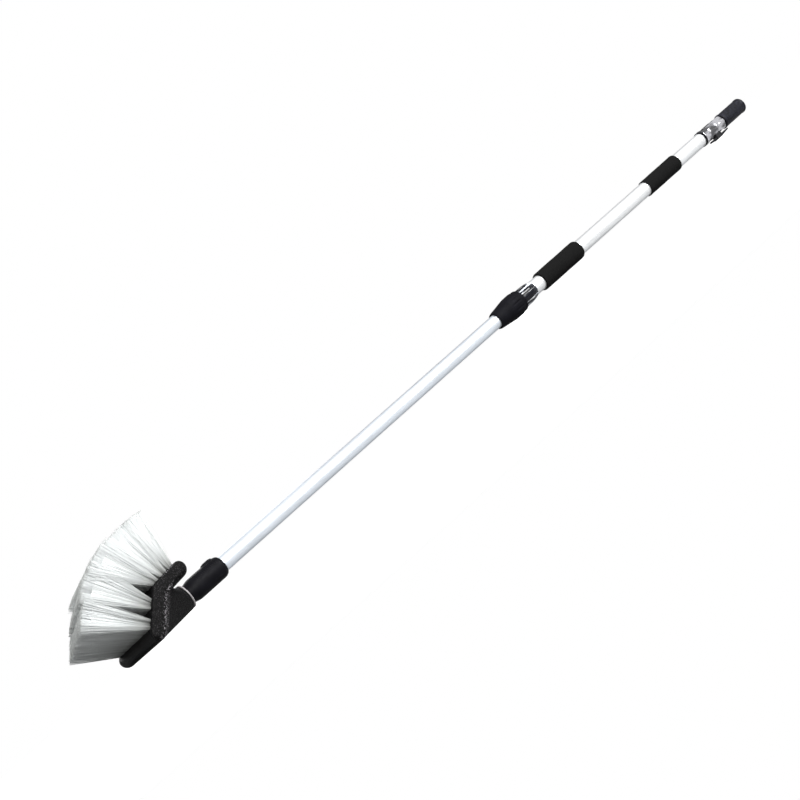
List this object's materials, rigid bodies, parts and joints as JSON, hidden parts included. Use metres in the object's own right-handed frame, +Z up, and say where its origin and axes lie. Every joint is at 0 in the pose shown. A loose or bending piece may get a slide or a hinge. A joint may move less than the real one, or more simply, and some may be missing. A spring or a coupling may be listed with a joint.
{
  "type": "telescopic flow-through snow brush",
  "caption": "Wide two-facet brush head with soft pale bristles on a telescopic twist-lock pole, with foam grips, a shut-off valve and a hose coupling.",
  "frame": {"origin": "middle of the footprint, on the surface that the brush lies on", "axes": "+X along the pole from the head to the hose coupling, +Y along the head, +Z up, the way the bristles point"},
  "size_m": [1.7514, 0.203, 0.1593],
  "materials": {
    "block_plastic": "pebbled",
    "bristle": "soft split filaments",
    "black_plastic": "satin",
    "gloss_black": "gloss",
    "anodised_tube": "satin anodised",
    "foam": "matt cellular foam",
    "chrome": "polished",
    "brass": "machined",
    "steel": "machined",
    "black_rubber": "matt",
    "grey_rubber": "matt",
    "white_plastic": "satin"
  },
  "bodies": {
    "handle_pole": {"outer_tube": "anodised_tube", "clamp_collet": "gloss_black", "clamp_o_ring": "black_rubber", "foam_grip_large": "foam", "foam_grip_small": "foam", "tube_end_ring": "black_plastic", "valve_body": "chrome", "valve_seat_front": "white_plastic", "valve_seat_rear": "white_plastic", "outlet_nut": "chrome", "tail_stem": "brass"},
    "clamp_nut": {"lock_nut": "black_plastic"},
    "inner_pole": {"inner_tube": "anodised_tube", "guide_bush": "white_plastic", "guide_o_ring": "black_rubber", "pole_adapter": "black_plastic", "adapter_seal": "black_rubber", "threaded_tip": "white_plastic", "button_spring": "steel", "rim_washer": "grey_rubber"},
    "head": {"brush_block": "block_plastic", "socket_insert": "white_plastic", "bristle_row_1": "bristle", "bristle_row_2": "bristle", "bristle_row_3": "bristle", "bristle_row_4": "bristle", "bristle_row_5": "bristle"},
    "button": {"release_button": "black_plastic"},
    "valve_control": {"valve_lever": "black_plastic", "lever_screw": "steel", "valve_spindle": "brass", "spindle_o_ring": "black_rubber", "valve_ball": "chrome"},
    "hose_coupling": {"end_sleeve": "black_plastic", "hose_washer": "black_rubber", "filter_screen": "steel"}
  },
  "joints": [
    {"name": "pole_slide", "type": "slide", "parent": "handle_pole", "child": "inner_pole", "axis": [1, 0, 0], "range_m": [-0.06, 0.49]},
    {"name": "lock_nut_turn", "type": "hinge", "parent": "handle_pole", "child": "clamp_nut", "pos_m": [0.0947, 0, 0.02441], "axis": [1, 0, 0], "range_deg": [0, 120]},
    {"name": "head_turn", "type": "hinge", "parent": "inner_pole", "child": "head", "pos_m": [-0.6973, 0, 0.02441], "axis": [1, 0, 0], "range_deg": [-180, 180]},
    {"name": "button_press", "type": "slide", "parent": "inner_pole", "child": "button", "axis": [0, 0, -1], "range_m": [0, 0.0017], "stiffness_N_per_m": 600, "springref_m": -0.002, "deforming": ["button_spring"]},
    {"name": "valve_turn", "type": "hinge", "parent": "handle_pole", "child": "valve_control", "pos_m": [0.7707, 0, 0.0053], "axis": [0, 0, 1], "range_deg": [0, 90]},
    {"name": "coupling_turn", "type": "hinge", "parent": "handle_pole", "child": "hose_coupling", "pos_m": [0.8392, 0, 0.02441], "axis": [1, 0, 0], "continuous": true}
  ]
}
